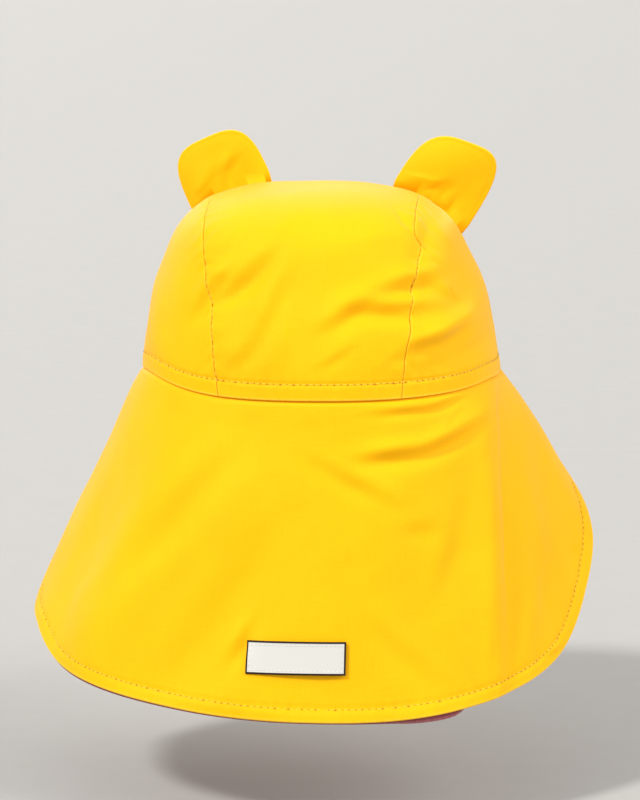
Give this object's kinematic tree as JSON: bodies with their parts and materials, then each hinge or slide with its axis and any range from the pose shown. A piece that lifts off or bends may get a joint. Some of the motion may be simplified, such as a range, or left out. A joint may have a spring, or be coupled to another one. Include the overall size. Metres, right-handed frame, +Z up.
{
  "type": "child's flap sun hat with ears",
  "caption": "Soft yellow child's sun hat with a panelled crown, padded animal ears, a wide flared neck flap, a front peak and a small plain label.",
  "frame": {"origin": "centre of the head opening, level with the crown's lower edge", "axes": "+Z up out of the crown, +Y to the wearer's front and the peak, +X to the right as seen from behind"},
  "size_m": [0.2467, 0.2598, 0.2369],
  "materials": {
    "yellow_cloth": "matte plain weave",
    "lining_cloth": "matte mauve weave",
    "label_cloth": "matte woven tape with a dark edge"
  },
  "bodies": {
    "root": {"crown_center": "yellow_cloth", "crown_left": "yellow_cloth", "crown_right": "yellow_cloth", "ear_left": "yellow_cloth", "ear_right": "yellow_cloth", "neck_flap": "yellow_cloth", "flap_lining": "lining_cloth", "label_patch": "label_cloth", "peak": "yellow_cloth"}
  },
  "joints": []
}
